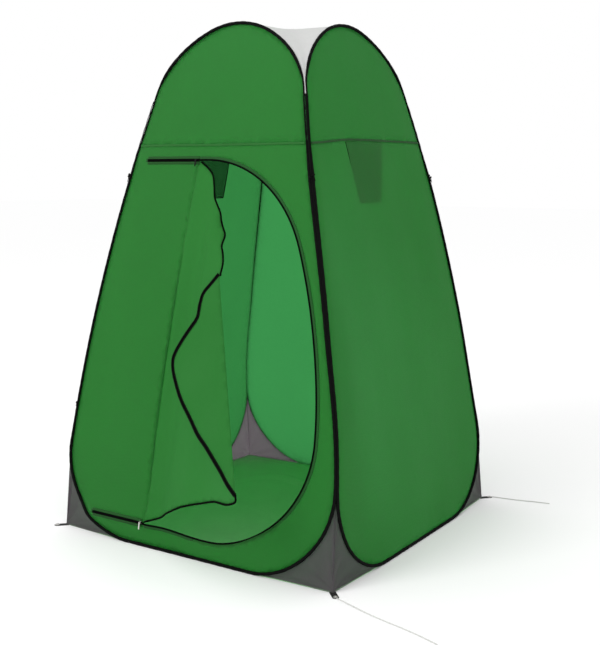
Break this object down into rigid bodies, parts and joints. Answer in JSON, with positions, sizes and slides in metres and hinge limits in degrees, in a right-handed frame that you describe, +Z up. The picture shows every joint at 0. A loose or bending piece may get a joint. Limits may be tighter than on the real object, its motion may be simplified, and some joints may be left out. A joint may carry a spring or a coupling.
{
  "type": "privacy shower tent",
  "caption": "Pop-up privacy shower tent: sprung hoop walls leaning in to a flat roof, grey corner gussets, sewn-in floor and a D-shaped zipped door hanging part open.",
  "frame": {"origin": "middle of the floor, on the ground", "axes": "+Z up, -Y is the door side, +X is the wall to the right of the door as seen from outside"},
  "size_m": [1.7078, 1.5352, 1.9022],
  "materials": {
    "spring_wire": "sprung steel wire",
    "hoop_sleeve": "black binding sleeve",
    "wall_cloth": "coated green polyester",
    "seam": "stitched fell seam",
    "seam_binding": "dark stitched binding",
    "gusset_cloth": "grey polyester",
    "roof_cloth": "pale translucent polyester",
    "floor_cloth": "green groundsheet",
    "tie_cord": "black cord",
    "webbing": "black webbing",
    "eyelet": "moulded black ring",
    "zip": "black coil zip on dark tape",
    "bar_tack": "close stitching",
    "zip_pull_black": "black slider and pull",
    "zip_pull_metal": "bare metal slider and pull",
    "net": "fine net",
    "guy_cord": "pale grey cord"
  },
  "bodies": {
    "front_wall": {"hoop_wire_front": "spring_wire", "hoop_sleeve_front": "hoop_sleeve", "panel_upper_front": "wall_cloth", "panel_lower_front": "wall_cloth", "seam_tape_front": "seam", "gussets_front": "gusset_cloth", "corner_seam_front": "seam_binding", "ties_front": "tie_cord", "peg_tab_front": "webbing", "peg_eyelet_front": "eyelet", "zip_doorway": "zip", "zip_closed": "zip", "zip_stops": "bar_tack", "roof_gores": "roof_cloth", "roof_top": "roof_cloth", "floor": "floor_cloth", "cord_front": "guy_cord"},
    "right_wall": {"hoop_wire_right": "spring_wire", "hoop_sleeve_right": "hoop_sleeve", "panel_upper_right": "wall_cloth", "panel_lower_right": "wall_cloth", "seam_tape_right": "seam", "gussets_right": "gusset_cloth", "corner_seam_right": "seam_binding", "ties_right": "tie_cord", "peg_tab_right": "webbing", "peg_eyelet_right": "eyelet", "pocket_right": "net", "cord_right": "guy_cord"},
    "back_wall": {"hoop_wire_back": "spring_wire", "hoop_sleeve_back": "hoop_sleeve", "panel_upper_back": "wall_cloth", "panel_lower_back": "wall_cloth", "seam_tape_back": "seam", "gussets_back": "gusset_cloth", "corner_seam_back": "seam_binding", "ties_back": "tie_cord", "peg_tab_back": "webbing", "peg_eyelet_back": "eyelet"},
    "left_wall": {"hoop_wire_left": "spring_wire", "hoop_sleeve_left": "hoop_sleeve", "panel_upper_left": "wall_cloth", "panel_lower_left": "wall_cloth", "seam_tape_left": "seam", "gussets_left": "gusset_cloth", "corner_seam_left": "seam_binding", "ties_left": "tie_cord", "peg_tab_left": "webbing", "peg_eyelet_left": "eyelet", "pocket_left": "net"},
    "door_flap": {"flap": "wall_cloth", "flap_teeth": "zip"},
    "door_flap_corner": {"flap_corner": "wall_cloth", "flap_corner_teeth": "zip"},
    "upper_slider": {"slider_upper": "zip_pull_black"},
    "lower_slider": {"slider_lower": "zip_pull_metal"},
    "upper_pull": {"pull_upper": "zip_pull_black"},
    "lower_pull": {"pull_lower": "zip_pull_metal"}
  },
  "joints": [
    {"name": "front_right_fold", "type": "hinge", "parent": "front_wall", "child": "right_wall", "pos_m": [0.645, -0.645, 0], "axis": [-0.1726, 0.1726, 0.9697], "range_deg": [0, 74], "stiffness_Nm_per_rad": 20, "deforming": ["floor", "roof_gores", "roof_top", "gussets_front", "gussets_right", "corner_seam_front"]},
    {"name": "right_back_fold", "type": "hinge", "parent": "right_wall", "child": "back_wall", "pos_m": [0.645, 0.645, 0], "axis": [-0.1726, -0.1726, 0.9697], "range_deg": [-73, 0], "deforming": ["gussets_back", "corner_seam_right", "corner_seam_back"]},
    {"name": "front_left_fold", "type": "hinge", "parent": "front_wall", "child": "left_wall", "pos_m": [-0.645, -0.645, 0], "axis": [0.1726, 0.1726, 0.9697], "range_deg": [0, 73], "deforming": ["gussets_left", "corner_seam_left"]},
    {"name": "door_flap_swing", "type": "hinge", "parent": "front_wall", "child": "door_flap", "pos_m": [-0.186, -0.63305, 0.09279], "axis": [-0.0688, -0.1748, -0.9822], "range_deg": [-24, 86], "stiffness_Nm_per_rad": 0.3},
    {"name": "flap_corner_turn", "type": "hinge", "parent": "door_flap", "child": "door_flap_corner", "pos_m": [-0.01828, -0.43514, 1.41274], "axis": [0.3358, -0.3369, -0.8796], "range_deg": [-165, 0], "stiffness_Nm_per_rad": 0.1},
    {"name": "upper_slider_travel", "type": "slide", "parent": "front_wall", "child": "upper_slider", "axis": [-1, 0, 0], "range_m": [0, 0.22]},
    {"name": "lower_slider_travel", "type": "slide", "parent": "front_wall", "child": "lower_slider", "axis": [-1, 0, 0], "range_m": [0, 0.228]},
    {"name": "upper_pull_swing", "type": "hinge", "parent": "upper_slider", "child": "upper_pull", "pos_m": [-0.108, -0.40603, 1.40698], "axis": [-1, 0, 0], "range_deg": [0, 140]},
    {"name": "lower_pull_swing", "type": "hinge", "parent": "lower_slider", "child": "lower_pull", "pos_m": [-0.2, -0.63975, 0.09398], "axis": [-1, 0, 0], "range_deg": [0, 140]}
  ],
  "couplings": [
    {"joint": "right_back_fold", "follows": "front_right_fold", "ratio": -0.985},
    {"joint": "front_left_fold", "follows": "front_right_fold", "ratio": 0.985}
  ]
}
